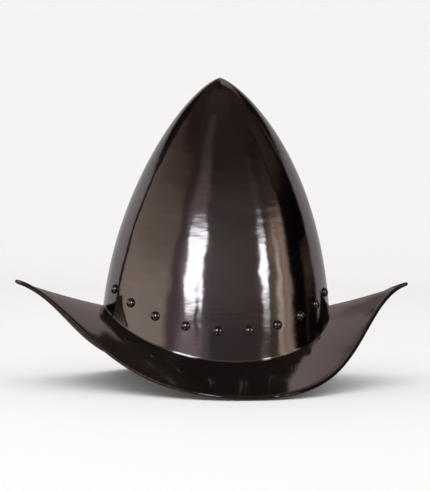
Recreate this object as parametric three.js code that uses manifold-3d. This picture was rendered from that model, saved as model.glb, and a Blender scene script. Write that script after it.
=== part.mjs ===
// A morion helmet in dark polished steel: a tall pointed skull, a boat-shaped brim
// whose upturned collar stands inside the foot of the skull, and the rivets that join them.
// Millimetres, +Z up. The front point of the brim lies towards -X, and the helmet
// stands on the two lowest places of the brim, left and right, at z = 0.
import * as THREE from 'three';
import Module from 'manifold-3d';

// Plates
const PLATE = 1.5; // thickness of both plates
const GAP = 0.3; // clearance where two pieces lie on each other

// Skull
const APEX_Z = 304.2; // the point on top
const SKULL_HALF_LENGTH = 115.5; // outside, at the lowest part of the foot
const SKULL_WIDTH_RATIO = 0.83; // the skull is narrower from side to side
const SKULL_SHOULDER = 2.08; // outline exponent: larger keeps the wall upright for longer
const SKULL_POINT = 0.733; // outline exponent: above one half the top ends in a point
const SKULL_LEAN = 2.3; // the upper half of the skull swells this much towards the back
const SKULL_LEAN_RISE = 2.05; // exponent: how high up it swells

// Foot of the skull, where it meets the brim
const FOOT_END_Z = 77; // at the front and the back
const FOOT_SIDE_Z = 29.3; // at the two sides
const FOOT_SWEEP = 1.36; // exponent of the dip from the ends to the sides

// Brim
const BRIM_HALF_LENGTH = 200.3;
const BRIM_HALF_WIDTH = 152;
const BRIM_WAIST = 2.26; // plan exponents: how early and how hard the sides draw in
const BRIM_PINCH = 1.87;
const TIP_ROUND = 3.5; // half width of the rounded points
const EDGE_SIDE_Z = 2.2; // middle of the rolled edge at the sides
const EDGE_TIP_Z = 100.5; // and at the two points
const SWEEP_POWER = 1.75; // the edge rises from side to point in an S: how late,
const SWEEP_PLACE = 0.516; // where it is steepest,
const SWEEP_STEEP = 2.55; // and how steep
const FLARE = 1.5; // how far the brim sags below a straight slope at the points and the sides
const SWELL = 3; // how much higher it stands halfway between them
const BEAD_R = 2.2; // rolled edge

// Collar and rivets
const COLLAR_HEIGHT = 42; // above the foot
const RIVETS_PER_SIDE = 10;
const RIVET_FIRST = 16.4; // degrees round the ring from a point to the first rivet of a side
const RIVET_PITCH = 16.9; // degrees from there to the second rivet, nearly
const RIVET_CLOSING = 0.196; // how fast the pitch closes up along the side
const RIVET_ROW = 29.5; // above the foot, halfway along
const RIVET_TILT = 3.7; // the row starts this much lower and ends this much higher
const RIVET_HEAD_R = 4.6;
const RIVET_HEAD_HEIGHT = 3.3;
const RIVET_SHANK_R = 1.9;
const RIVET_TAIL_R = 3.4;
const RIVET_TAIL_HEIGHT = 1.3;
const RIVET_SIDES = 8;

// Facets
const RING_STEPS = 72; // round the helmet
const RING_CROWDING = 0.45; // draws the steps together near the two points
const SKULL_STEPS = 14; // from apex to foot
const BRIM_STEPS = 4; // from the foot to the rolled edge
const EDGE_SAMPLES = 1440; // used only to measure distances to the brim's edge

const wasm = await Module();
wasm.setup();
const { Manifold, Mesh: SolidMesh } = wasm;

// Ring angles, counted from the back point, crowded near the two points.
const ringAngles = Array.from({ length: RING_STEPS }, (_, i) => {
  const turn = (2 * Math.PI * i) / RING_STEPS;
  return turn - 0.5 * RING_CROWDING * Math.sin(2 * turn);
});

// Height of the skull's foot at a ring angle.
function footZ(angle) {
  const dip = Math.abs(Math.sin(angle)) ** FOOT_SWEEP;
  return FOOT_END_Z - (FOOT_END_Z - FOOT_SIDE_Z) * dip;
}

// A point of the skull's outer face.
function skullFace(angle, z) {
  const s = THREE.MathUtils.clamp((z - FOOT_SIDE_Z) / (APEX_Z - FOOT_SIDE_Z), 0, 1);
  const half = SKULL_HALF_LENGTH * (1 - s ** SKULL_SHOULDER) ** SKULL_POINT;
  const middle = SKULL_LEAN * Math.sin(Math.PI * s ** SKULL_LEAN_RISE);
  const x = middle + half * Math.cos(angle);
  const y = SKULL_WIDTH_RATIO * half * Math.sin(angle);
  return new THREE.Vector3(x, y, z);
}

// Unit normal of a surface given by two parameters, from small steps in each.
function surfaceNormal(surface, a, b, stepA, stepB) {
  const alongA = surface(a + stepA, b).sub(surface(a - stepA, b));
  const alongB = surface(a, b + stepB).sub(surface(a, b - stepB));
  return alongA.cross(alongB).normalize();
}

const skullNormal = (angle, z) => surfaceNormal(skullFace, angle, z, 1e-3, 0.05);

// A point at a depth below the skull's outer face.
function insideSkull(angle, z, depth) {
  return skullFace(angle, z).addScaledVector(skullNormal(angle, z), -depth);
}

// The S-shaped rise of the edge, from 0 at a side to 1 at a point.
function edgeSweep(share) {
  const bend = (v) => Math.tanh(SWEEP_STEEP * (v - SWEEP_PLACE));
  return (bend(share ** SWEEP_POWER) - bend(0)) / (bend(1) - bend(0));
}

// The outermost line of the brim. The share runs from 0 at a side to 1 at a point.
function brimEdge(angle) {
  const fromPoint = Math.acos(Math.abs(Math.cos(angle)));
  const share = 1 - fromPoint / (Math.PI / 2);
  const waist = BRIM_HALF_WIDTH * (1 - share ** BRIM_WAIST) ** BRIM_PINCH;
  const half = waist + TIP_ROUND * Math.sqrt(1 - share ** 8);
  return new THREE.Vector3(
    Math.sign(Math.cos(angle)) * BRIM_HALF_LENGTH * share,
    Math.sign(Math.sin(angle)) * half,
    EDGE_SIDE_Z + (EDGE_TIP_Z - EDGE_SIDE_Z) * edgeSweep(share),
  );
}

// The middle surface of the brim plate. The reach runs from 0 at the skull to 1 at the edge.
function brimMiddle(angle, reach) {
  const foot = skullFace(angle, footZ(angle));
  foot.z -= PLATE / 2;
  const point = foot.lerp(brimEdge(angle), reach);
  const sag = FLARE - SWELL * Math.sin(2 * angle) ** 2;
  point.z -= sag * 4 * reach * (1 - reach);
  return point;
}

const edgeLine = Array.from({ length: EDGE_SAMPLES }, (_, i) =>
  brimEdge((2 * Math.PI * (i + 0.5)) / EDGE_SAMPLES),
);

function planDistanceToEdge(point) {
  return Math.min(...edgeLine.map((e) => Math.hypot(e.x - point.x, e.y - point.y)));
}

// The reach at which the brim lies at a given distance inside its edge.
function reachAt(angle, distance) {
  let low = 0;
  let high = 1;
  for (let i = 0; i < 24; i++) {
    const reach = (low + high) / 2;
    if (planDistanceToEdge(brimMiddle(angle, reach)) > distance) low = reach;
    else high = reach;
  }
  return low;
}

// Half thickness of the rolled edge at a distance inside the outermost line.
function beadHalfThickness(distance) {
  const round = Math.sqrt(Math.max(0, BEAD_R ** 2 - (distance - BEAD_R) ** 2));
  return distance > BEAD_R ? Math.max(round, PLATE / 2) : round;
}

// Joins columns of points into one closed skin. Each column is a closed loop, or, with two
// poles, a line from the first pole to the last.
function closedSkin(columns, poles) {
  const rows = columns[0].length;
  const points = columns.flat();
  const triangles = [];
  const at = (column, row) => (column % columns.length) * rows + (row % rows);
  columns.forEach((_, c) => {
    for (let r = 0; r < (poles ? rows - 1 : rows); r++) {
      triangles.push([at(c, r), at(c, r + 1), at(c + 1, r + 1)]);
      triangles.push([at(c, r), at(c + 1, r + 1), at(c + 1, r)]);
    }
    if (poles) {
      triangles.push([points.length, at(c, 0), at(c + 1, 0)]);
      triangles.push([points.length + 1, at(c + 1, rows - 1), at(c, rows - 1)]);
    }
  });
  return { points: poles ? [...points, ...poles] : points, triangles };
}

function toSolid({ points, triangles }) {
  return new Manifold(
    new SolidMesh({
      numProp: 3,
      vertProperties: new Float32Array(points.flatMap((p) => p.toArray())),
      triVerts: new Uint32Array(triangles.flat()),
    }),
  );
}

function toGeometry(solid) {
  const { vertProperties, triVerts } = solid.getMesh();
  const geometry = new THREE.BufferGeometry();
  geometry.setAttribute('position', new THREE.BufferAttribute(new Float32Array(vertProperties), 3));
  geometry.setIndex(new THREE.BufferAttribute(new Uint32Array(triVerts), 1));
  geometry.computeVertexNormals();
  return geometry;
}

// Skull: down the outer face, across the foot and up the inner face.
function skullColumn(angle) {
  const foot = footZ(angle) + GAP;
  const outer = [];
  const inner = [];
  for (let k = 1; k <= SKULL_STEPS; k++) {
    const z = APEX_Z - (APEX_Z - foot) * (k / SKULL_STEPS) ** 1.6;
    outer.push(skullFace(angle, z));
    inner.push(insideSkull(angle, z, PLATE));
  }
  inner[SKULL_STEPS - 1].z = foot;
  return [...outer, ...inner.reverse()];
}

const skullPoles = [
  new THREE.Vector3(0, 0, APEX_Z),
  new THREE.Vector3(0, 0, APEX_Z - 1.2 * PLATE),
];
const skullBlank = toSolid(closedSkin(ringAngles.map(skullColumn), skullPoles));

// Brim: in underneath from the edge, up the back of the collar, down its face and out on top.
function brimColumn(angle) {
  const stations = [0.15, 0.5, 1, 1.5].map((share) => share * BEAD_R);
  stations.push(BEAD_R + Math.sqrt(BEAD_R ** 2 - (PLATE / 2) ** 2));
  const places = stations.map((distance) => [reachAt(angle, distance), beadHalfThickness(distance)]);
  const bend = places.at(-1)[0];
  for (let k = 1; k <= BRIM_STEPS; k++) places.push([bend * (1 - k / BRIM_STEPS), PLATE / 2]);
  const face = (side) => places.map(([reach, half]) => {
    const normal = surfaceNormal(brimMiddle, angle, reach, 1e-3, 1e-3);
    if (normal.z < 0) normal.negate();
    return brimMiddle(angle, reach).addScaledVector(normal, side * half);
  });
  const foot = footZ(angle);
  const collarFace = PLATE + GAP;
  const collarBack = 2 * PLATE + GAP;
  const ledge = insideSkull(angle, foot, collarFace);
  ledge.z = foot;
  const corner = insideSkull(angle, foot, collarBack);
  corner.z = foot - 0.75 * PLATE;
  const collar = (share, depth) => insideSkull(angle, foot + share * COLLAR_HEIGHT, depth);
  return [
    brimEdge(angle),
    ...face(-1),
    corner,
    collar(0.5, collarBack),
    collar(1, collarBack),
    collar(1, collarFace),
    collar(0.5, collarFace),
    ledge,
    ...face(1).reverse(),
  ];
}

const brimBlank = toSolid(closedSkin(ringAngles.map(brimColumn)));

// Rivets: a domed head outside, a shank through both plates and a flattened tail inside.
const headSeat = GAP;
const tailSeat = -(2 * PLATE + 3 * GAP);
const rivetProfile = [
  [0.55 * RIVET_HEAD_R, headSeat + 0.86 * RIVET_HEAD_HEIGHT],
  [0.9 * RIVET_HEAD_R, headSeat + 0.5 * RIVET_HEAD_HEIGHT],
  [RIVET_HEAD_R, headSeat],
  [RIVET_SHANK_R, headSeat],
  [RIVET_SHANK_R, tailSeat],
  [RIVET_TAIL_R, tailSeat],
  [0.85 * RIVET_TAIL_R, tailSeat - RIVET_TAIL_HEIGHT],
];
const rivetColumns = Array.from({ length: RIVET_SIDES }, (_, i) => {
  const turn = (2 * Math.PI * i) / RIVET_SIDES;
  return rivetProfile.map(([r, z]) => new THREE.Vector3(r * Math.cos(turn), r * Math.sin(turn), z));
});
const rivetPoles = [
  new THREE.Vector3(0, 0, headSeat + RIVET_HEAD_HEIGHT),
  new THREE.Vector3(0, 0, tailSeat - RIVET_TAIL_HEIGHT),
];
const rivetSolid = toSolid(closedSkin(rivetColumns, rivetPoles));

// Each rivet stands square to the skull. The row of one side is that of the other, half a turn on.
const rivetSteps = Array.from({ length: RIVETS_PER_SIDE }, (_, i) =>
  THREE.MathUtils.degToRad(RIVET_FIRST + RIVET_PITCH * i - RIVET_CLOSING * i ** 2),
);
const rivetTurns = [Math.PI, 2 * Math.PI].flatMap((start) =>
  rivetSteps.map((along) => [start + along, along]),
);
const rivetPlaces = rivetTurns.map(([angle, along]) => {
  const z = footZ(angle) + RIVET_ROW - RIVET_TILT * Math.cos(along);
  const turn = new THREE.Quaternion();
  turn.setFromUnitVectors(new THREE.Vector3(0, 0, 1), skullNormal(angle, z));
  return new THREE.Matrix4().compose(skullFace(angle, z), turn, new THREE.Vector3(1, 1, 1));
});

// The holes for the shanks, through skull and collar.
const holeLength = 8 * PLATE;
const hole = Manifold.cylinder(holeLength, RIVET_SHANK_R + GAP, -1, RIVET_SIDES, true);
const holes = Manifold.union(rivetPlaces.map((place) => hole.transform(place.toArray())));

const steel = (color, roughness) => new THREE.MeshStandardMaterial({ color, roughness, metalness: 1 });

const helmet = new THREE.Group();
helmet.name = 'morion_helmet';

function addPiece(name, solid, material) {
  const mesh = new THREE.Mesh(toGeometry(solid), material);
  mesh.name = name;
  helmet.add(mesh);
  return mesh;
}

addPiece('skull', skullBlank.subtract(holes), steel(0x4a4446, 0.18));
addPiece('brim', brimBlank.subtract(holes), steel(0x484244, 0.2));
rivetPlaces.forEach((place, i) => {
  const name = `rivet_${String(i + 1).padStart(2, '0')}`;
  addPiece(name, rivetSolid.transform(place.toArray()), steel(0x3c3738, 0.3));
});

// Set the helmet down on z = 0.
helmet.position.z = -new THREE.Box3().setFromObject(helmet).min.z;

export default helmet;
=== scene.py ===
"""Looks of a morion helmet in dark polished steel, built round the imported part.

Metres, +Z up, the brim's front point towards -X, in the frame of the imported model.
The skull, the brim and the rivets are smooth meshes from the same rules as the solids.
"""
import ast
import math

import bpy
from mathutils import Matrix, Vector


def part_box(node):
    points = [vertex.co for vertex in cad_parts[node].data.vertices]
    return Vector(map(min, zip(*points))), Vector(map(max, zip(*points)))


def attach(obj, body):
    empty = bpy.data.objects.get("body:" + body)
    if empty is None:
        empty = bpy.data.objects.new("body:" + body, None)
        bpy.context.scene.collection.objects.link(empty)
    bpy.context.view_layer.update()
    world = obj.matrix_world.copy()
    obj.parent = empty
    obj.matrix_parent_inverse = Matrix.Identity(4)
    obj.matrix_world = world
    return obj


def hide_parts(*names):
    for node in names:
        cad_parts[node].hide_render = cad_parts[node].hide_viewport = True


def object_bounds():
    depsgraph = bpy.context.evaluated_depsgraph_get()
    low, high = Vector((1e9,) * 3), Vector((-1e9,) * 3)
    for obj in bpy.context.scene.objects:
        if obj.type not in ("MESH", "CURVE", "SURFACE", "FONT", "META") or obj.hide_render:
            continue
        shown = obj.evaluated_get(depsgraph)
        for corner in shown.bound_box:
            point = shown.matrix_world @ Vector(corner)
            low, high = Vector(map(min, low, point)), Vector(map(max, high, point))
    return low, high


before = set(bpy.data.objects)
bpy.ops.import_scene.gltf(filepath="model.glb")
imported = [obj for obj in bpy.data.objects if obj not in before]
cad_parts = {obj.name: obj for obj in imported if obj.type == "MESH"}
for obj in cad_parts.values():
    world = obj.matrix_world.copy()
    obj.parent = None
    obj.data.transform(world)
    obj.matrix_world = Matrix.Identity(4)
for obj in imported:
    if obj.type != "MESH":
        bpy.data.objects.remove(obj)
cad_low, cad_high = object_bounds()
_, skull_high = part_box("skull")
rivet_nodes = sorted(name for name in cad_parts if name.startswith("rivet_"))

MM = 0.001
TURN = 2 * math.pi

# Sizes of the solids, written in millimetres. Heights are counted as in the part's source, where
# the apex stands 304.2 mm up, and SET_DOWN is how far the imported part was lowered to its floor.
SOURCE_APEX = 304.2 * MM
SET_DOWN = skull_high.z - SOURCE_APEX
PLATE = 1.5 * MM
GAP = 0.3 * MM
SKULL = {
    "apex": SOURCE_APEX + SET_DOWN,
    "length": 115.5 * MM,
    "ratio": 0.83,
    "shoulder": 2.08,
    "point": 0.733,
    "lean": 2.3 * MM,
    "lean_rise": 2.05,
    "foot_end": 77 * MM + SET_DOWN,
    "foot_side": 29.3 * MM + SET_DOWN,
    "foot_sweep": 1.36,
}
# The bead is a hair under the solid's 2.2 mm, so that its round stays inside the solid's box.
BRIM = {
    "half_length": 200.3 * MM,
    "half_width": 152 * MM,
    "waist": 2.26,
    "pinch": 1.87,
    "tip_round": 3.5 * MM,
    "tip_fullness": 8.0,
    "edge_side": 2.2 * MM + SET_DOWN,
    "edge_tip": 100.5 * MM + SET_DOWN,
    "sweep_power": 1.75,
    "sweep_place": 0.516,
    "sweep_steep": 2.55,
    "flare": 1.5 * MM,
    "swell": 3 * MM,
    "bead": 2.17 * MM,
    "plate": PLATE,
    "collar": 42 * MM,
    "collar_inset": 1.5 * PLATE + GAP,
}
RIVETS = {
    "per_side": len(rivet_nodes) // 2,
    "first": math.radians(16.4),
    "pitch": math.radians(16.9),
    "closing": math.radians(0.196),
    "row": 29.5 * MM,
    "tilt": 3.7 * MM,
    "head_radius": 4.6 * MM,
    "head_height": 3.3 * MM,
    "shank_radius": 1.9 * MM,
    "tail_radius": 3.4 * MM,
    "tail_height": 1.3 * MM,
    "head_seat": GAP,
    "tail_seat": -(2 * PLATE + 3 * GAP),
}

# Points of a mesh that are closer than WELD become one. RING_CROWDING, in radians, is how far the
# columns of a ring are drawn towards the two points of the brim.
WELD = 0.004 * MM
RING_CROWDING = 0.225

# The camera sees EYE_POINT, on the skull's axis, at the photograph's EYE_PIXEL from EYE_DISTANCE
# away, where one pixel covers one millimetre. Angles are in degrees.
IMAGE_WIDTH, IMAGE_HEIGHT = 430, 491
EYE_POINT = Vector((0, 0, 64 * MM + SET_DOWN))
EYE_PIXEL = (216.3, 318.6)
EYE_DISTANCE = 1500 * MM
EYE_AZIMUTH, EYE_ELEVATION, EYE_ROLL = -11.9, 3.9, 0.9
PIXELS_PER_METRE = 1000


def add(tree, kind, *sources, named=None, **settings):
    """Adds one node. Sources fill its inputs in order, None skips one, and named fills by name."""
    node = tree.nodes.new(kind)
    for key, value in settings.items():
        setattr(node, key, value)
    pairs = list(zip(node.inputs, sources))
    pairs += [(node.inputs[key], value) for key, value in (named or {}).items()]
    for socket, source in pairs:
        if source is None:
            continue
        if isinstance(source, bpy.types.Node):
            source = source.outputs[0]
        if isinstance(source, bpy.types.NodeSocket):
            tree.links.new(source, socket)
        else:
            socket.default_value = source
    return node


OPERATORS = {
    ast.Add: "ADD",
    ast.Sub: "SUBTRACT",
    ast.Mult: "MULTIPLY",
    ast.Div: "DIVIDE",
    ast.Pow: "POWER",
}
FUNCTIONS = {
    "sin": "SINE",
    "cos": "COSINE",
    "tanh": "TANH",
    "arctan2": "ARCTAN2",
    "sqrt": "SQRT",
    "abs": "ABSOLUTE",
    "sign": "SIGN",
    "fraction": "FRACT",
    "zigzag": "PINGPONG",
    "least": "MINIMUM",
    "most": "MAXIMUM",
    "over": "GREATER_THAN",
}


def formula(tree, text, **values):
    """Turns an arithmetic expression into Math nodes and returns the last output."""
    def build(part):
        if isinstance(part, ast.Constant):
            return part.value
        if isinstance(part, ast.Name):
            return values[part.id]
        if isinstance(part, ast.BinOp):
            operation, terms = OPERATORS[type(part.op)], (part.left, part.right)
        else:
            operation, terms = FUNCTIONS[part.func.id], part.args
        return add(tree, "ShaderNodeMath", *map(build, terms), operation=operation).outputs[0]

    return build(ast.parse(text).body[0].value)


def climb(tree, value, start, end):
    """A share that is 0 up to the start, 1 from the end on, and grows evenly between them."""
    return formula(tree, "least(1, most(0, (value - start) / (end - start)))", value=value, start=start,
                   end=end)


SOCKETS = {
    int: "NodeSocketInt",
    float: "NodeSocketFloat",
    bpy.types.Material: "NodeSocketMaterial",
    bpy.types.Object: "NodeSocketObject",
}


def new_tree(name, sizes):
    """A Geometry Nodes tree with a named input for each size, and the sockets of those inputs."""
    tree = bpy.data.node_groups.new(name, "GeometryNodeTree")
    tree.interface.new_socket("Geometry", in_out="OUTPUT", socket_type="NodeSocketGeometry")
    for key, value in sizes.items():
        tree.interface.new_socket(key, in_out="INPUT", socket_type=SOCKETS[type(value)])
    inputs = tree.nodes.new("NodeGroupInput")
    return tree, {socket.name: socket for socket in inputs.outputs if socket.name}


def grow(name, tree, sizes):
    """Runs a tree with these sizes and returns the result as a plain mesh object."""
    piece = bpy.data.objects.new(name, bpy.data.meshes.new(name))
    bpy.context.scene.collection.objects.link(piece)
    modifier = piece.modifiers.new("grow", "NODES")
    modifier.node_group = tree
    for item in tree.interface.items_tree:
        if item.in_out == "INPUT":
            modifier[item.identifier] = sizes[item.name]
    return freeze(piece)


def freeze(piece):
    """Turns a piece with its modifiers into a plain mesh."""
    graph = bpy.context.evaluated_depsgraph_get()
    shaped = piece.evaluated_get(graph)
    mesh = bpy.data.meshes.new_from_object(shaped, preserve_all_data_layers=True, depsgraph=graph)
    piece.modifiers.clear()
    piece.data = mesh
    return piece


def foot_height(tree, angle, size):
    """Height of the skull's foot, which dips from the two ends to the sides."""
    return formula(tree, "end - (end - side) * abs(sin(angle)) ** sweep", angle=angle,
                   end=size["foot_end"], side=size["foot_side"], sweep=size["foot_sweep"])


def skull_point(tree, angle, height, size, inset=0.0):
    """A point of the skull's outer face, or inside it by an inset, as three sockets."""
    share = climb(tree, height, size["foot_side"], size["apex"])
    half = formula(tree, "length * (1 - share ** shoulder) ** point", share=share,
                   length=size["length"], shoulder=size["shoulder"], point=size["point"])
    lean = formula(tree, "lean * sin(half_turn * share ** rise)", lean=size["lean"], half_turn=math.pi,
                   share=share, rise=size["lean_rise"])
    x = formula(tree, "lean + (half - inset) * cos(angle)", lean=lean, half=half, inset=inset, angle=angle)
    y = formula(tree, "(half * ratio - inset) * sin(angle)", half=half, ratio=size["ratio"],
                inset=inset, angle=angle)
    return x, y, height


def edge_point(tree, angle, size):
    """A point of the brim's outermost line, as three sockets."""
    share = formula(tree, "1 - zigzag(angle, quarter) / quarter", angle=angle, quarter=math.pi / 2)
    side = formula(tree, "width * (1 - share ** waist) ** pinch", share=share, width=size["half_width"],
                   waist=size["waist"], pinch=size["pinch"])
    half = formula(tree, "side + tip * sqrt(1 - share ** fullness)", share=share, side=side,
                   tip=size["tip_round"], fullness=size["tip_fullness"])
    low = formula(tree, "tanh(0 - steep * place)", steep=size["sweep_steep"], place=size["sweep_place"])
    high = formula(tree, "tanh(steep * (1 - place))", steep=size["sweep_steep"], place=size["sweep_place"])
    bend = formula(tree, "tanh(steep * (share ** power - place))", share=share, steep=size["sweep_steep"],
                   power=size["sweep_power"], place=size["sweep_place"])
    x = formula(tree, "sign(cos(angle)) * length * share", angle=angle, length=size["half_length"],
                share=share)
    y = formula(tree, "sign(sin(angle)) * half", angle=angle, half=half)
    z = formula(tree, "side + (tip - side) * (bend - low) / (high - low)", side=size["edge_side"],
                tip=size["edge_tip"], bend=bend, low=low, high=high)
    return x, y, z


def ring_grid(tree, columns, rows, crowding=0.0):
    """A grid to bend into a ring: its geometry, the ring angle and the row share from top to bottom."""
    grid = add(tree, "GeometryNodeMeshGrid", 1.0, 1.0, columns, rows).outputs["Mesh"]
    place = add(tree, "ShaderNodeSeparateXYZ", add(tree, "GeometryNodeInputPosition"))
    turn = formula(tree, "(x + 0.5) * turn", x=place.outputs["X"], turn=TURN)
    angle = formula(tree, "turn - crowding * sin(2 * turn)", turn=turn, crowding=crowding)
    row = formula(tree, "0.5 - y", y=place.outputs["Y"])
    return grid, angle, row


def finish_tree(tree, geometry, material):
    """Closes seams and poles, and ends the tree in a smooth, finished mesh."""
    welded = add(tree, "GeometryNodeMergeByDistance", named={"Geometry": geometry, "Distance": WELD})
    real = add(tree, "GeometryNodeRealizeInstances", welded)
    smooth = add(tree, "GeometryNodeSetShadeSmooth", real)
    dressed = add(tree, "GeometryNodeSetMaterial", named={"Geometry": smooth, "Material": material})
    add(tree, "NodeGroupOutput", dressed)


def raise_skull(material):
    """The skull: a ring grid drawn up to a point, with its foot turned out in a fine lip and softened."""
    rows, lip_rows = 114, 4
    lip_start = 1 - lip_rows / (rows - 1)
    soft_edge, sharp_corner = 0.35 * MM, math.radians(60)
    sizes = {
        **SKULL,
        "gap": GAP,
        "lip_height": 1.8 * MM,
        "lip_flare": 0.42 * MM,
        "apex_crowding": 1.6,
        "columns": 321,
        "rows": rows,
        "material": material,
    }
    tree, size = new_tree("raise_skull", sizes)
    grid, angle, row = ring_grid(tree, size["columns"], size["rows"], RING_CROWDING)
    foot = foot_height(tree, angle, size)
    body = climb(tree, row, 0, lip_start)
    lip = climb(tree, row, lip_start, 1)
    drop = formula(tree, "(apex - foot - gap - rise) * body ** crowding", apex=size["apex"], foot=foot,
                   gap=size["gap"], rise=size["lip_height"], body=body, crowding=size["apex_crowding"])
    height = formula(tree, "apex - drop - rise * lip", apex=size["apex"], drop=drop,
                     rise=size["lip_height"], lip=lip)
    inset = formula(tree, "0 - flare * lip ** 2", flare=size["lip_flare"], lip=lip)
    place = add(tree, "ShaderNodeCombineXYZ", *skull_point(tree, angle, height, size, inset))
    bent = add(tree, "GeometryNodeSetPosition", grid, named={"Position": place})
    finish_tree(tree, bent, size["material"])
    skull = grow("skull_plate", tree, sizes)
    wall = skull.modifiers.new("wall", "SOLIDIFY")
    wall.thickness = PLATE
    wall.offset = -1
    soften = skull.modifiers.new("soften", "BEVEL")
    soften.width = soft_edge
    soften.segments = 2
    soften.limit_method = "ANGLE"
    soften.angle_limit = sharp_corner
    return freeze(skull)


def brim_sheet(tree, size):
    """The brim's middle face: collar, ledge and flare in one sheet, without thickness."""
    # Rows of the grid, as shares: the collar from its top edge to its foot, the ledge under the
    # skull, and the start of the roll, which lies at this reach from the skull's foot to the edge.
    top_row, collar_row, ledge_row, roll_row = 0.0118, 0.1, 0.14, 0.6
    roll_reach = 0.86
    # The first and the last row, at the two rims, get no thickness, so that the faces close there.
    rim_row = 0.001
    grid, angle, row = ring_grid(tree, size["columns"], size["rows"], RING_CROWDING)
    collar = climb(tree, row, top_row, collar_row)
    ledge = climb(tree, row, collar_row, ledge_row)
    flat = climb(tree, row, ledge_row, roll_row)
    roll = climb(tree, row, roll_row, 1)
    reach = formula(tree, "bend * flat + (1 - bend) * roll", bend=roll_reach, flat=flat, roll=roll)
    foot = foot_height(tree, angle, size)
    height = formula(tree, "foot + rise * (1 - collar) - ledge * plate / 2", foot=foot, rise=size["collar"],
                     collar=collar, ledge=ledge, plate=size["plate"])
    inset = formula(tree, "inset * (1 - ledge)", inset=size["collar_inset"], ledge=ledge)
    inner = skull_point(tree, angle, height, size, inset)
    outer = edge_point(tree, angle, size)
    x, y, z = (formula(tree, "a + (b - a) * reach", a=a, b=b, reach=reach) for a, b in zip(inner, outer))
    sag = formula(tree, "flare - swell * sin(2 * angle) ** 2", flare=size["flare"], swell=size["swell"],
                  angle=angle)
    sagged = formula(tree, "z - sag * 4 * reach * (1 - reach)", z=z, sag=sag, reach=reach)
    inside = formula(tree, "over(row, rim) * over(1 - rim, row)", row=row, rim=rim_row)
    marked = add(tree, "GeometryNodeStoreNamedAttribute", grid, named={"Name": "inside", "Value": inside})
    place = add(tree, "ShaderNodeCombineXYZ", x, y, sagged)
    bent = add(tree, "GeometryNodeSetPosition", marked, named={"Position": place})
    return add(tree, "GeometryNodeMergeByDistance", named={"Geometry": bent, "Distance": WELD})


def edge_distance(tree, size):
    """Distance in plan from each point of the sheet to the brim's outermost line."""
    ring = add(tree, "GeometryNodeMeshCircle", size["edge_samples"])
    index = add(tree, "GeometryNodeInputIndex")
    angle = formula(tree, "index * turn / count", index=index, turn=TURN, count=size["edge_samples"])
    x, y, _ = edge_point(tree, angle, size)
    place = add(tree, "ShaderNodeCombineXYZ", x, y, 0.0)
    line = add(tree, "GeometryNodeSetPosition", ring, named={"Position": place})
    here = add(tree, "ShaderNodeSeparateXYZ", add(tree, "GeometryNodeInputPosition"))
    plan = add(tree, "ShaderNodeCombineXYZ", here.outputs["X"], here.outputs["Y"], 0.0)
    near = add(tree, "GeometryNodeProximity", target_element="EDGES", named={
        "Geometry": line, "Sample Position": plan})
    return near.outputs["Distance"]


def hammer_brim(material):
    """The brim: its sheet thickened on both sides and rolled at its edge, with the rim marked."""
    rim_beads = 3
    sizes = {**SKULL, **BRIM, "columns": 441, "rows": 84, "edge_samples": 1600, "material": material}
    tree, size = new_tree("hammer_brim", sizes)
    sheet = brim_sheet(tree, size)
    near = edge_distance(tree, size)

    # Half thickness: the plate, the round of the rolled edge, and nothing on the two rims.
    round_half = formula(tree, "sqrt(most(0, bead ** 2 - (near - bead) ** 2))", bead=size["bead"], near=near)
    inside = add(tree, "GeometryNodeInputNamedAttribute", "inside").outputs["Attribute"]
    half = formula(tree, "most(round, plate / 2 * over(near, bead)) * inside", round=round_half,
                   plate=size["plate"], near=near, bead=size["bead"], inside=inside)
    rim = formula(tree, "most(0, 1 - near / (beads * bead))", near=near, beads=rim_beads, bead=size["bead"])
    marked = add(tree, "GeometryNodeStoreNamedAttribute", sheet, named={"Name": "rim", "Value": rim})
    held = add(tree, "GeometryNodeStoreNamedAttribute", marked, named={"Name": "half", "Value": half})
    stored = add(tree, "GeometryNodeInputNamedAttribute", "half").outputs["Attribute"]
    normal = add(tree, "GeometryNodeInputNormal").outputs[0]
    faces = []
    for side in (1, -1):
        step = formula(tree, "half * side", half=stored, side=side)
        move = add(tree, "ShaderNodeVectorMath", normal, operation="SCALE", named={"Scale": step})
        faces.append(add(tree, "GeometryNodeSetPosition", held, named={"Offset": move}))
    under = add(tree, "GeometryNodeFlipFaces", faces[1])
    both = add(tree, "GeometryNodeJoinGeometry", under)
    tree.links.new(faces[0].outputs[0], both.inputs[0])
    for helper in ("half", "inside"):
        both = add(tree, "GeometryNodeRemoveAttribute", named={"Geometry": both, "Name": helper})
    finish_tree(tree, both, size["material"])
    return grow("brim_plate", tree, sizes)


def dome(tree, radius, height, seat, side):
    """A flat-bottomed dome on a seat, pointing up or, with side -1, down."""
    columns, rows = 33, 17
    grid, turn, row = ring_grid(tree, columns, rows)
    r = formula(tree, "radius * sin(row * half_turn)", radius=radius, row=row, half_turn=math.pi)
    rise = formula(tree, "most(0, cos(row * half_turn)) * height", row=row, half_turn=math.pi, height=height)
    x = formula(tree, "r * cos(turn)", r=r, turn=turn)
    y = formula(tree, "r * sin(turn) * side", r=r, turn=turn, side=side)
    z = formula(tree, "seat + rise * side", seat=seat, rise=rise, side=side)
    place = add(tree, "ShaderNodeCombineXYZ", x, y, z)
    return add(tree, "GeometryNodeSetPosition", grid, named={"Position": place})


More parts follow.
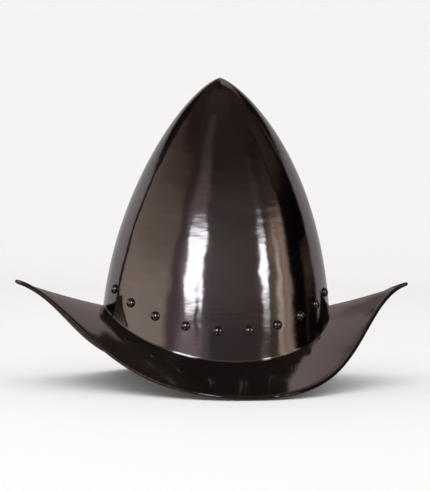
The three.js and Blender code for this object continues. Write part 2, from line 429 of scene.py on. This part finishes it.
def one_rivet(tree, size):
    """A rivet along Z: the head's dome, the shank, and the tail's flat dome inside the plates."""
    shank_sides = 20
    head = dome(tree, size["head_radius"], size["head_height"], size["head_seat"], 1)
    tail = dome(tree, size["tail_radius"], size["tail_height"], size["tail_seat"], -1)
    length = formula(tree, "head - tail", head=size["head_seat"], tail=size["tail_seat"])
    rod = add(tree, "GeometryNodeMeshCylinder", named={
        "Vertices": shank_sides, "Radius": size["shank_radius"], "Depth": length})
    middle = formula(tree, "(head + tail) / 2", head=size["head_seat"], tail=size["tail_seat"])
    lift = add(tree, "ShaderNodeCombineXYZ", 0.0, 0.0, middle)
    shank = add(tree, "GeometryNodeTransform", rod, named={"Translation": lift})
    rivet = add(tree, "GeometryNodeJoinGeometry", head)
    for piece in (tail, shank):
        tree.links.new(piece.outputs[0], rivet.inputs[0])
    return add(tree, "GeometryNodeMergeByDistance", named={"Geometry": rivet, "Distance": WELD})


def set_rivets(skull, material):
    """The rivets: one on each point of a ring, square to the skull."""
    sizes = {**SKULL, **RIVETS, "skull": skull, "material": material}
    tree, size = new_tree("set_rivets", sizes)
    index = add(tree, "GeometryNodeInputIndex")
    second = formula(tree, "over(index, each - 0.5)", index=index, each=size["per_side"])
    step = formula(tree, "index - each * second", index=index, each=size["per_side"], second=second)
    along = formula(tree, "first + pitch * step - closing * step ** 2", step=step, first=size["first"],
                    pitch=size["pitch"], closing=size["closing"])
    angle = formula(tree, "half_turn * (1 + second) + along", half_turn=math.pi, second=second, along=along)
    height = formula(tree, "foot + row - tilt * cos(along)", foot=foot_height(tree, angle, size),
                     row=size["row"], tilt=size["tilt"], along=along)
    place = add(tree, "ShaderNodeCombineXYZ", *skull_point(tree, angle, height, size))
    count = formula(tree, "2 * each", each=size["per_side"])
    points = add(tree, "GeometryNodePoints", count, place)
    plate = add(tree, "GeometryNodeObjectInfo", size["skull"]).outputs["Geometry"]
    outward = add(tree, "GeometryNodeSampleNearestSurface", data_type="FLOAT_VECTOR", named={
        "Mesh": plate, "Value": add(tree, "GeometryNodeInputNormal")})
    turned = add(tree, "FunctionNodeAlignRotationToVector", axis="Z", named={"Vector": outward})
    placed = add(tree, "GeometryNodeInstanceOnPoints", points, named={
        "Instance": one_rivet(tree, size), "Rotation": turned})
    finish_tree(tree, placed, size["material"])
    return grow("rivet_row", tree, sizes)


def linear(code):
    """An sRGB hex colour as a linear RGBA tuple."""
    shares = [int(code[i:i + 2], 16) / 255 for i in (1, 3, 5)]
    return tuple(c / 12.92 if c <= 0.04045 else ((c + 0.055) / 1.055) ** 2.4 for c in shares) + (1.0,)


# Patterns of the steel, as widths and depths. Ripples and lines run round the helmet, so they are
# wide along X and Y and low along Z. The lines of a real buffing wheel are well under 0.1 mm apart,
# too fine to show here, and are drawn coarser, 1.6 mm apart.
CLOUD_WIDTH = 60 * MM
SPECK_WIDTH = 4 * MM
SMUDGE_WIDTH = 22 * MM
WAVE_WIDTH, WAVE_DEPTH = 34 * MM, 0.75 * MM
RIPPLE_SIZE, RIPPLE_DEPTH = (26 * MM, 26 * MM, 9 * MM), 0.2 * MM
LINE_SIZE, LINE_DEPTH = (40 * MM, 40 * MM, 1.6 * MM), 0.006 * MM
# Painted shade: the colour that the brim's rim is darkened towards, in patches, for the dark that its rolled
# edge mirrors.
RIM_PAINTED_SHADE = "#544b48"


def blackened_steel(name, dark, light, roughness, metallic=1.0):
    """Oil-blackened mild steel, buffed to a mirror: a dark warm reflection, slow hammer waves left
    under the polish, fine lines from the buffing wheel, and a rim painted darker in patches: painted shade
    for the dark that the rolled edge mirrors."""
    material = bpy.data.materials.new(name)
    material.use_nodes = True
    tree = material.node_tree
    tree.nodes.clear()
    place = add(tree, "ShaderNodeTexCoord").outputs["Object"]
    cloud = add(tree, "ShaderNodeTexNoise", place, named={"Scale": 1 / CLOUD_WIDTH, "Detail": 4.0})
    tint = add(tree, "ShaderNodeMix", data_type="RGBA", named={
        "Factor": cloud.outputs["Fac"], "A": linear(dark), "B": linear(light)})
    specks = add(tree, "ShaderNodeTexNoise", place, named={"Scale": 1 / SPECK_WIDTH, "Detail": 3.0})
    rim = add(tree, "ShaderNodeAttribute", attribute_name="rim").outputs["Fac"]
    # The rim is darkened in patches near the edge: painted shade.
    black = formula(tree, "least(1, most(0, rim * strength * (specks - bare)))", rim=rim,
                    specks=specks.outputs["Fac"], strength=2.4, bare=0.1)
    tint = add(tree, "ShaderNodeMix", data_type="RGBA", named={
        "Factor": black, "A": tint.outputs["Result"], "B": linear(RIM_PAINTED_SHADE)})
    along, wheel = (add(tree, "ShaderNodeMapping", place, named={"Scale": [1 / width for width in size]})
                    for size in (RIPPLE_SIZE, LINE_SIZE))
    waves = add(tree, "ShaderNodeTexNoise", place, named={"Scale": 1 / WAVE_WIDTH, "Detail": 1.0})
    ripples = add(tree, "ShaderNodeTexNoise", along, named={"Scale": 1.0, "Detail": 2.0})
    lines = add(tree, "ShaderNodeTexNoise", wheel, named={"Scale": 1.0, "Detail": 3.0})
    smudges = add(tree, "ShaderNodeTexNoise", place, named={
        "Scale": 1 / SMUDGE_WIDTH, "Detail": 6.0, "Roughness": 0.65})
    rough = formula(tree, "base * (even + lined * lines + smudged * smudges)", base=roughness, even=0.4,
                    lined=0.5, lines=lines.outputs["Fac"], smudged=0.8, smudges=smudges.outputs["Fac"])
    normal = None
    for pattern, depth in ((waves, WAVE_DEPTH), (ripples, RIPPLE_DEPTH), (lines, LINE_DEPTH)):
        normal = add(tree, "ShaderNodeBump", named={
            "Strength": 1.0, "Distance": depth, "Height": pattern.outputs["Fac"], "Normal": normal})
    steel = add(tree, "ShaderNodeBsdfPrincipled", named={
        "Base Color": tint.outputs["Result"], "Metallic": metallic, "Roughness": rough, "Normal": normal})
    add(tree, "ShaderNodeOutputMaterial", steel)
    return material


# The brim catches dust and oil: a thin haze, so it isn't wholly metallic. The rivets are polished least.
skull_steel = blackened_steel("blackened_steel_skull", "#766d6b", "#857b79", roughness=0.08)
brim_steel = blackened_steel("blackened_steel_brim", "#746b69", "#827876", roughness=0.10, metallic=0.98)
# The rivets' darker steel is painted shade, for the dark that their small domes mirror.
rivet_steel = blackened_steel("blackened_steel_rivets", "#6f6765", "#7d7472", roughness=0.14)

skull_plate = raise_skull(skull_steel)
brim_plate = hammer_brim(brim_steel)
rivet_row = set_rivets(skull_plate, rivet_steel)

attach(skull_plate, "root")
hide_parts("skull")
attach(brim_plate, "root")
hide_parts("brim")
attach(rivet_row, "root")
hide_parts(*rivet_nodes)


def towards(azimuth, elevation):
    """Unit vector from the object to a viewer at this azimuth and elevation."""
    a, e = math.radians(azimuth), math.radians(elevation)
    return Vector((math.sin(a) * math.cos(e), -math.cos(a) * math.cos(e), math.sin(e)))


def set_camera():
    """A camera that sees EYE_POINT at EYE_PIXEL, without shift: it is turned up to centre the frame."""
    sensor, nearest, farthest = 36, 0.05, 50
    lens = bpy.data.cameras.new("camera")
    camera = bpy.data.objects.new("camera", lens)
    bpy.context.scene.collection.objects.link(camera)
    bpy.context.scene.camera = camera
    focal_pixels = EYE_DISTANCE * PIXELS_PER_METRE
    lens.sensor_width = sensor
    lens.lens = focal_pixels / IMAGE_HEIGHT * sensor
    lens.clip_start, lens.clip_end = nearest, farthest
    away = towards(EYE_AZIMUTH, EYE_ELEVATION)
    pitch = math.atan((EYE_PIXEL[1] - IMAGE_HEIGHT / 2) / focal_pixels)
    yaw = math.atan((EYE_PIXEL[0] - IMAGE_WIDTH / 2) / focal_pixels)
    aim = (-away).to_track_quat("-Z", "Y").to_matrix()
    tilt = Matrix.Rotation(pitch, 3, "X") @ Matrix.Rotation(yaw, 3, "Y")
    aim = aim @ Matrix.Rotation(math.radians(EYE_ROLL), 3, "Z") @ tilt
    camera.matrix_world = Matrix.Translation(EYE_POINT + away * EYE_DISTANCE) @ aim.to_4x4()


def softbox():
    """One large soft light above and to the left, for the floor: the polish mirrors the room instead."""
    width, distance, watts, left, up = 1.6, 2.2, 9, -35, 58
    light = bpy.data.lights.new("softbox", "AREA")
    light.size = width
    light.energy = watts
    box = bpy.data.objects.new("softbox", light)
    bpy.context.scene.collection.objects.link(box)
    middle = (cad_low + cad_high) / 2
    away = towards(EYE_AZIMUTH + left, up)
    aim = away.to_track_quat("Z", "Y").to_matrix()
    box.matrix_world = Matrix.Translation(middle + away * distance) @ aim.to_4x4()
    box.visible_glossy = False


def matt_paint():
    """Matt wall paint, rolled on: an even soft white without a mirror."""
    paint = bpy.data.materials.new("pale_matt_paint")
    paint.use_nodes = True
    shader = paint.node_tree.nodes["Principled BSDF"]
    shader.inputs["Base Color"].default_value = linear("#f8f7f6")
    shader.inputs["Roughness"].default_value = 0.9
    return paint


def pale_floor():
    """A plain pale studio floor that sweeps up behind the helmet, square to the camera."""
    left, right, front, back, radius, top, steps = -14.0, 14.0, -14.0, 3.0, 1.0, 4.5, 24
    profile = [(front, 0.0), (back - radius, 0.0)]
    for i in range(1, steps + 1):
        a = math.pi / 2 * i / steps
        profile.append((back - radius + radius * math.sin(a), radius - radius * math.cos(a)))
    profile.append((back, top))
    turn = Matrix.Rotation(math.radians(EYE_AZIMUTH), 3, "Z")
    points = [turn @ Vector((x, y, z)) for y, z in profile for x in (left, right)]
    faces = [(2 * i, 2 * i + 1, 2 * i + 3, 2 * i + 2) for i in range(len(profile) - 1)]
    mesh = bpy.data.meshes.new("floor")
    mesh.from_pydata(points, [], faces)
    mesh.polygons.foreach_set("use_smooth", [True] * len(faces))
    mesh.materials.append(matt_paint())
    floor = bpy.data.objects.new("floor", mesh)
    bpy.context.scene.collection.objects.link(floor)
    # The polish takes the whole room, its floor too, from the world.
    floor.visible_glossy = False


# What the polish mirrors round the studio. Each ring gives colours by degrees to the right of the
# camera. It takes over between two heights, given as sines of the elevation, and the walls take all
# heights. Where a ring has None, the rings before it in this list show.
RINGS = {
    "walls": (-2.0, -1.5, (
        (-180, "#c6c3c7"), (-114, "#c6c3c7"), (-111, "#2e2623"), (-107.5, "#2e2623"), (-105, "#e0d4ca"),
        (-80, "#ece1d5"), (-42, "#e2d7cf"), (-35, "#86797c"), (-29, "#8a7d84"), (-22, "#c9bfc6"),
        (-8, "#c9bfc6"), (-3, "#8f8a90"), (10, "#878080"), (44, "#7c7172"), (47, "#8c8380"),
        (54, "#8c8380"), (56, "#6b6460"), (57, "#8f9a72"), (61, "#8f9a72"), (63, "#fff6ea"),
        (67, "#fff0e2"), (70, "#dcc8b6"), (73, "#f6e2d0"), (77, "#e6d2c0"), (81, "#2a2121"),
        (86, "#120e0e"), (96, "#120e0e"), (102, "#6a594e"), (115, "#5a4e4a"), (121, "#b9b5b8"),
        (180, "#b9b5b8"),
    )),
    "low_front": (0.16, 0.0, (
        (-180, None), (0, None), (6, "#696066"), (42, "#665c5e"), (46, None), (180, None),
    )),
    "low_corner": (0.15, 0.03, (
        (-180, None), (97, None), (101, "#1a1413"), (115, "#1a1413"), (119, None), (180, None),
    )),
    "green_top": (0.22, 0.28, (
        (-180, None), (55.5, None), (57, "#b5a692"), (61.5, "#cdb9a4"), (63, None), (180, None),
    )),
    "green_foot": (0.07, 0.01, (
        (-180, None), (55.5, None), (57, "#74645c"), (61.5, "#74645c"), (63, None), (180, None),
    )),
    "left_wall_top": (0.1, 0.42, (
        (-180, None), (-105, None), (-103, "#b9aea3"), (-42, "#bbb0a6"), (-38, None), (180, None),
    )),
    "stripe_tops": (0.36, 0.48, (
        (-180, None), (55, None), (57, "#6f655e"), (79, "#776d65"), (82, None), (180, None),
    )),
    "dark_corner": (0.17, 0.26, (
        (-180, None), (80, None), (84, "#0d0a0a"), (115, "#0d0a0a"), (120, None), (180, None),
    )),
    "ceiling": (0.3, 0.8, (
        (-180, "#bfb7b6"), (-156, "#bfb7b6"), (-142, "#4c403b"), (-112, "#4c403b"), (-111, "#2e2623"),
        (-107.5, "#2e2623"), (-105, "#6a5c53"), (-60, "#6a5c53"), (-26, "#4c403b"), (-20, "#7d746e"),
        (-10, "#7d746e"), (-4, "#4c403b"), (44, "#483c36"), (60, "#3a2f2b"), (100, "#3a302c"),
        (142, "#4c403b"), (156, "#bfb7b6"), (180, "#bfb7b6"),
    )),
    "corner_top": (0.46, 0.58, (
        (-180, None), (78, None), (84, "#584d47"), (108, "#4c403b"), (114, None), (180, None),
    )),
    "dark_behind": (0.44, 0.53, (
        (-180, None), (-156, None), (-142, "#2b2320"), (-113, "#2b2320"), (-111, None), (118, None),
        (122, "#2b2320"), (142, "#2b2320"), (156, None), (180, None),
    )),
    "lamps_behind": (0.72, 0.8, (
        (-180, "#a19997"), (-172, "#968e8c"), (-160, "#4c403b"), (-60, "#4c403b"), (-30, "#52463f"),
        (-22, "#6c635e"), (-10, "#6c635e"), (-2, "#52463f"), (60, "#4c403b"), (122, "#4c403b"),
        (136, "#b4acab"), (160, "#bfb7b6"), (170, "#bfb7b6"), (178, "#a19997"), (180, "#a19997"),
    )),
    "zenith": (0.92, 0.945, (
        (-180, "#3a2f2b"), (-140, "#3a2f2b"), (-100, "#4c403b"), (-50, "#584c46"), (50, "#584c46"),
        (130, "#4c403b"), (145, "#bfb7b6"), (166, "#bfb7b6"), (171, "#3a2f2b"), (180, "#3a2f2b"),
    )),
    "pole": (0.962, 0.972, (
        (-180, "#3a2f2b"), (-140, "#3a2f2b"), (-100, "#584c46"), (100, "#584c46"), (140, "#3a2f2b"),
        (180, "#3a2f2b"),
    )),
    "ground": (-0.07, -0.2, (
        (-180, "#584f4c"), (180, "#584f4c"),
    )),
    "floor": (-0.35, -0.95, (
        (-180, "#b4aeaa"), (180, "#b4aeaa"),
    )),
}

# Soft panels among them, in degrees: middle and half width, the blur of the two sides, the stretches
# of elevation over which they come up and fade out, and their colour and radiance. Three are bright,
# and the last is a dim upright bar in the lower part of the first. PANEL_TAPER is the share of its
# width that a panel loses as it fades out.
DAYLIGHT = "#e6f2ff"
PANEL_TAPER = 0.4
PANELS = (
    {"middle": -13.2, "half": 8.7, "blur": 2.0, "low": 1, "full": 9.5, "fade": 24.5, "high": 33,
     "colour": DAYLIGHT, "glow": 7.0},
    {"middle": 50.8, "half": 3.3, "blur": 1.8, "low": -3, "full": 12.5, "fade": 19, "high": 30,
     "colour": DAYLIGHT, "glow": 7.0},
    {"middle": 65.2, "half": 1.8, "blur": 2.0, "low": -6, "full": 8, "fade": 14, "high": 23,
     "colour": "#fff0e2", "glow": 1.7},
    {"middle": -9.2, "half": 1.9, "blur": 1.8, "low": -4, "full": 1, "fade": 8, "high": 16,
     "colour": "#857a82", "glow": 1.0},
)
CLEAR = (0.0, 0.0, 0.0, 0.0)
BLACK = (0.0, 0.0, 0.0, 1.0)
WHITE = (1.0, 1.0, 1.0, 1.0)
EVEN_LIGHT = 0.97


def lay_ring(tree, room, share, height, start, end, stops):
    """Lays one ring of colours over the room and returns the room's new colour."""
    ramp = add(tree, "ShaderNodeValToRGB", share)
    elements = ramp.color_ramp.elements
    while len(elements) < len(stops):
        elements.new(1.0)
    for element, (degrees, code) in zip(elements, stops):
        element.position = 0.5 + degrees / 360
        element.color = linear(code) if code else CLEAR
    lift = add(tree, "ShaderNodeMapRange", height, start, end, 0.0, 1.0, interpolation_type="SMOOTHSTEP")
    shows = formula(tree, "lift * colour", lift=lift, colour=ramp.outputs["Alpha"])
    laid = add(tree, "ShaderNodeMix", data_type="RGBA", named={
        "Factor": shows, "A": room, "B": ramp.outputs["Color"]})
    return laid.outputs["Result"]


def lay_panel(tree, room, right, up, panel):
    """Lays one soft panel over the room and returns the room's new colour."""
    rise = climb(tree, up, panel["low"], panel["full"])
    fall = climb(tree, up, panel["high"], panel["fade"])
    half = formula(tree, "half * (1 - taper + taper * fall)", half=panel["half"], taper=PANEL_TAPER,
                   fall=fall)
    across = formula(tree, "least(1, most(0, 0.5 + (half - abs(right - middle)) / blur))", half=half,
                     right=right, middle=panel["middle"], blur=panel["blur"])
    shows = formula(tree, "across * (rise * fall) ** 2", across=across, rise=rise, fall=fall)
    bright = tuple(panel["glow"] * shade for shade in linear(panel["colour"])[:3]) + (1.0,)
    laid = add(tree, "ShaderNodeMix", data_type="RGBA", named={"Factor": shows, "A": room, "B": bright})
    return laid.outputs["Result"]


def studio_surroundings():
    """The room that the polish reflects. Everything else is lit by plain even white."""
    world = bpy.data.worlds.new("studio")
    bpy.context.scene.world = world
    world.use_nodes = True
    tree = world.node_tree
    tree.nodes.clear()
    way = add(tree, "ShaderNodeSeparateXYZ", add(tree, "ShaderNodeTexCoord").outputs["Generated"])
    height = way.outputs["Z"]
    behind = math.radians(EYE_AZIMUTH) - math.pi
    bearing = formula(tree, "arctan2(x, 0 - y) - behind", x=way.outputs["X"], y=way.outputs["Y"],
                      behind=behind)
    share = formula(tree, "fraction(bearing / turn)", bearing=bearing, turn=TURN)
    right = formula(tree, "(share - 0.5) * 360", share=share)
    up = formula(tree, "arctan2(z, sqrt(most(0, 1 - z ** 2))) * degree", z=height, degree=360 / TURN)
    room = BLACK
    for start, end, stops in RINGS.values():
        room = lay_ring(tree, room, share, height, start, end, stops)
    for panel in PANELS:
        room = lay_panel(tree, room, right, up, panel)
    mirrored = add(tree, "ShaderNodeBackground", room, 1.0)
    even = add(tree, "ShaderNodeBackground", WHITE, EVEN_LIGHT)
    glossy = add(tree, "ShaderNodeLightPath").outputs["Is Glossy Ray"]
    add(tree, "ShaderNodeOutputWorld", add(tree, "ShaderNodeMixShader", glossy, even, mirrored))


set_camera()
pale_floor()
studio_surroundings()
softbox()
# Colours come out as they are given, without a film curve.
bpy.context.scene.view_settings.view_transform = "Standard"
